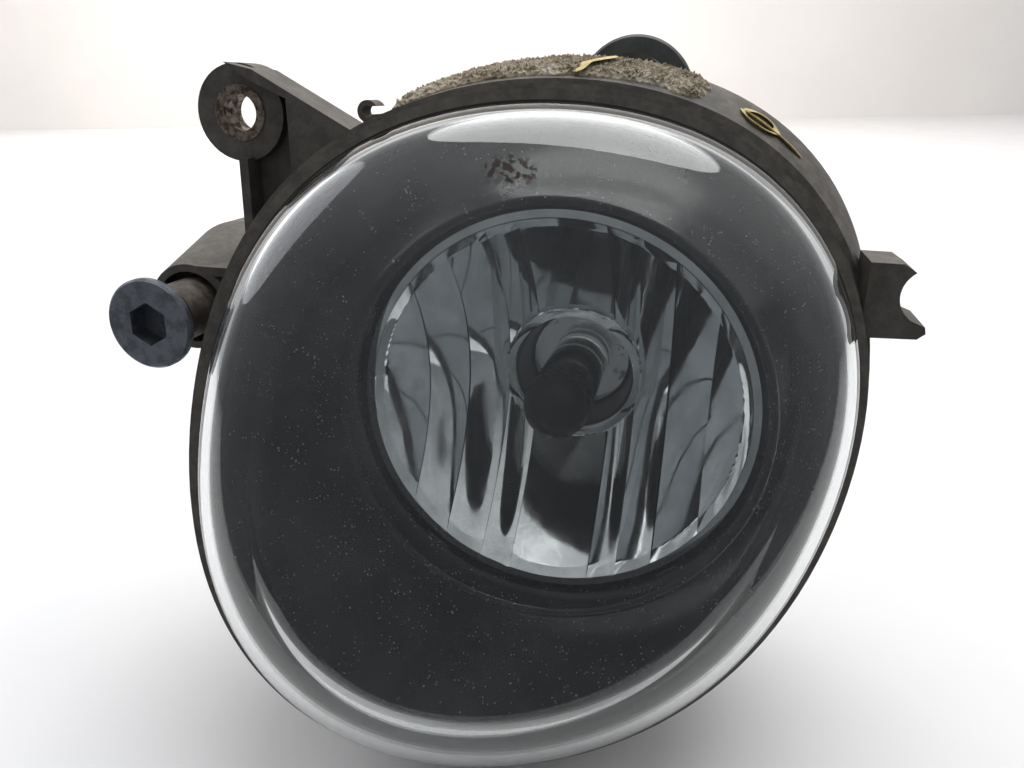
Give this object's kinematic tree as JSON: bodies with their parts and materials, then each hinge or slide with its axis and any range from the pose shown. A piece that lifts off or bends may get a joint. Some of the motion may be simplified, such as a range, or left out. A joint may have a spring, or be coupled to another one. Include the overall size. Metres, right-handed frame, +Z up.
{
  "type": "fog light",
  "caption": "Front fog lamp with a rounded clear lens, dark bezel, tilting faceted reflector, twist-lock bulb, aiming screw, mounting ear and side fork.",
  "frame": {"origin": "centre of the upper mounting ear's bore, at the front end of its steel sleeve", "axes": "-Y is the way the lamp shines and the way the ear's bolt comes from, +X is to the right seen from the front, +Z is up"},
  "size_m": [0.1512, 0.1099, 0.1358],
  "materials": {
    "housing_plastic": "matte",
    "lens_glass": "gloss",
    "seal_rubber": "matte",
    "bezel_plastic": "satin",
    "mirror_coat": "gloss",
    "steel_black": "satin",
    "steel_bare": "satin",
    "foam": "matte",
    "grey_plastic": "satin",
    "nylon_white": "satin",
    "bulb_quartz": "gloss",
    "bulb_black": "satin",
    "tungsten": "satin",
    "brass_tin": "satin"
  },
  "bodies": {
    "lamp_housing": {"housing_shell": "housing_plastic", "front_lens": "lens_glass", "lens_seal": "seal_rubber", "bezel": "bezel_plastic", "ear_sleeve": "steel_bare", "foam_strip": "foam", "screw_guide_sleeve": "steel_black", "screw_seal_ring": "seal_rubber", "pivot_bushes": "nylon_white", "rear_boot": "seal_rubber", "boot_clamp": "steel_bare", "breather_membrane": "nylon_white"},
    "aiming_screw": {"aim_screw": "steel_black", "screw_clip": "steel_bare"},
    "aiming_nut": {"aim_nut": "nylon_white"},
    "reflector_unit": {"reflector": "mirror_coat", "aim_ball_stud": "steel_bare", "pivot_pins": "steel_bare", "bulb_holder": "bezel_plastic", "holder_screws": "steel_bare"},
    "bulb": {"bulb_glass": "bulb_quartz", "bulb_black_tip": "bulb_black", "bulb_filament": "tungsten", "bulb_lead_wires": "tungsten", "bulb_collar": "steel_bare", "bulb_base": "grey_plastic", "bulb_terminals": "brass_tin", "bulb_seal_ring": "seal_rubber"},
    "breather": {"breather_cap": "grey_plastic"}
  },
  "joints": [
    {"name": "aiming_screw_turn", "type": "hinge", "parent": "lamp_housing", "child": "aiming_screw", "pos_m": [-0.0113, -0.0188, -0.037], "axis": [0, 1, 0], "range_deg": [-540, 540]},
    {"name": "aiming_nut_travel", "type": "slide", "parent": "lamp_housing", "child": "aiming_nut", "axis": [0, -1, 0], "range_m": [-0.00188, 0.00188]},
    {"name": "reflector_tilt", "type": "hinge", "parent": "lamp_housing", "child": "reflector_unit", "pos_m": [0.0632, 0.0112, -0.0878], "axis": [1, 0, 0], "range_deg": [-2.12, 2.12], "deforming": ["rear_boot"]},
    {"name": "bulb_twist", "type": "hinge", "parent": "reflector_unit", "child": "bulb", "pos_m": [0.0632, 0.0362, -0.0498], "axis": [0, 1, 0], "range_deg": [0, 45]},
    {"name": "breather_pull", "type": "slide", "parent": "lamp_housing", "child": "breather", "axis": [0, 1, 0], "range_m": [0, 0.01]}
  ],
  "couplings": [
    {"joint": "aiming_nut_travel", "follows": "aiming_screw_turn", "m_per_rad": 0.00019894},
    {"joint": "reflector_tilt", "follows": "aiming_screw_turn", "ratio": 0.0039162}
  ]
}
